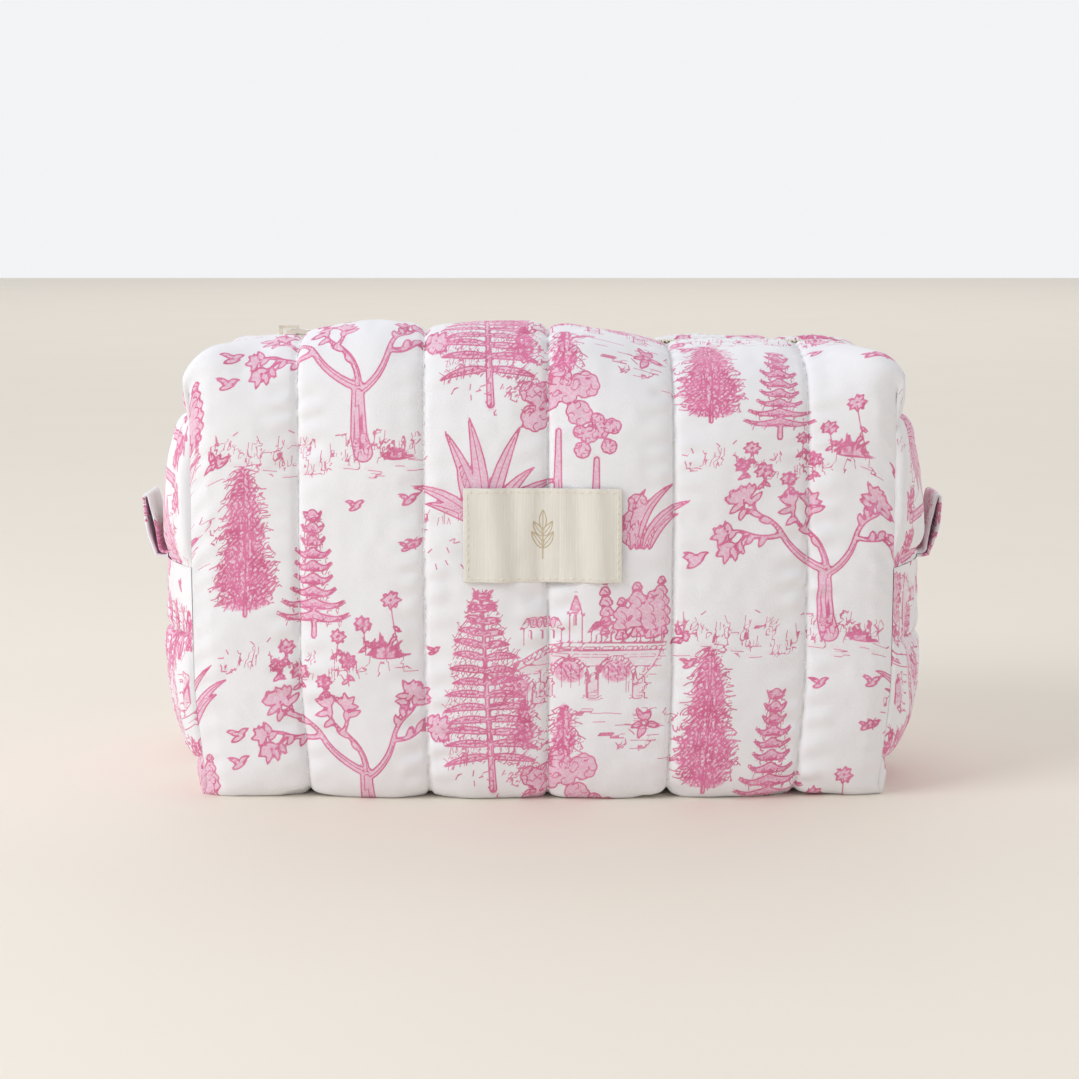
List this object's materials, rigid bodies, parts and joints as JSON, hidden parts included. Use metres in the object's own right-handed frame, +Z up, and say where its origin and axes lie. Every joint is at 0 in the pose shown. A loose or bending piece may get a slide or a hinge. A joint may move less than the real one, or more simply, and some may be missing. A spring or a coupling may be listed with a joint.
{
  "type": "makeup bag",
  "caption": "Boxed quilted cotton makeup bag with a zip along the top, opening top panels, loop tabs at both ends and a plain woven label on the front.",
  "frame": {"origin": "on the floor under the middle of the bag", "axes": "+X along the bag's length and the zip, -Y towards the front with the label, +Z up"},
  "size_m": [0.2716, 0.1137, 0.1516],
  "materials": {
    "printed_cotton": "printed quilted cotton, matt",
    "wadding": "soft polyester wadding",
    "lining_cotton": "plain cotton",
    "zip_tape": "woven tape",
    "zip_coil": "nylon coil",
    "binding_tape": "folded cotton tape",
    "label_satin": "satin weave",
    "zip_metal": "cream enamel"
  },
  "bodies": {
    "root": {"front_outer": "printed_cotton", "back_outer": "printed_cotton", "front_wadding": "wadding", "back_wadding": "wadding", "front_lining": "lining_cotton", "back_lining": "lining_cotton", "label": "label_satin", "left_seam_binding": "binding_tape", "right_seam_binding": "binding_tape", "front_left_corner_binding": "binding_tape", "front_right_corner_binding": "binding_tape", "back_left_corner_binding": "binding_tape", "back_right_corner_binding": "binding_tape", "front_zip_tape_left_end": "zip_tape", "front_zip_coil_left_end": "zip_coil", "front_zip_tape_right_end": "zip_tape", "front_zip_coil_right_end": "zip_coil", "back_zip_tape_left_end": "zip_tape", "back_zip_coil_left_end": "zip_coil", "back_zip_tape_right_end": "zip_tape", "back_zip_coil_right_end": "zip_coil"},
    "front_flap": {"front_outer_panel": "printed_cotton", "front_wadding_panel": "wadding", "front_lining_panel": "lining_cotton", "front_zip_tape": "zip_tape", "front_zip_coil": "zip_coil"},
    "back_flap": {"back_outer_panel": "printed_cotton", "back_wadding_panel": "wadding", "back_lining_panel": "lining_cotton", "back_zip_tape": "zip_tape", "back_zip_coil": "zip_coil"},
    "slider": {"zip_slider": "zip_metal"},
    "puller": {"zip_puller": "zip_metal"},
    "left_loop": {"left_tab": "printed_cotton"},
    "right_loop": {"right_tab": "printed_cotton"}
  },
  "joints": [
    {"name": "front_flap_fold", "type": "hinge", "parent": "root", "child": "front_flap", "pos_m": [0, -0.038, 0.147], "axis": [1, 0, 0], "range_deg": [0, 80]},
    {"name": "back_flap_fold", "type": "hinge", "parent": "root", "child": "back_flap", "pos_m": [0, 0.038, 0.147], "axis": [-1, 0, 0], "range_deg": [0, 80]},
    {"name": "zip_travel", "type": "slide", "parent": "root", "child": "slider", "axis": [1, 0, 0], "range_m": [0, 0.172]},
    {"name": "puller_swing", "type": "hinge", "parent": "slider", "child": "puller", "pos_m": [-0.086, 0, 0.1495], "axis": [0, -1, 0], "range_deg": [0, 170]},
    {"name": "left_tab_bend", "type": "hinge", "parent": "root", "child": "left_loop", "pos_m": [-0.1305, 0, 0.076], "axis": [0, -1, 0], "range_deg": [-8, 110], "stiffness_Nm_per_rad": 0.003},
    {"name": "right_tab_bend", "type": "hinge", "parent": "root", "child": "right_loop", "pos_m": [0.1305, 0, 0.076], "axis": [0, 1, 0], "range_deg": [-8, 110], "stiffness_Nm_per_rad": 0.003}
  ]
}
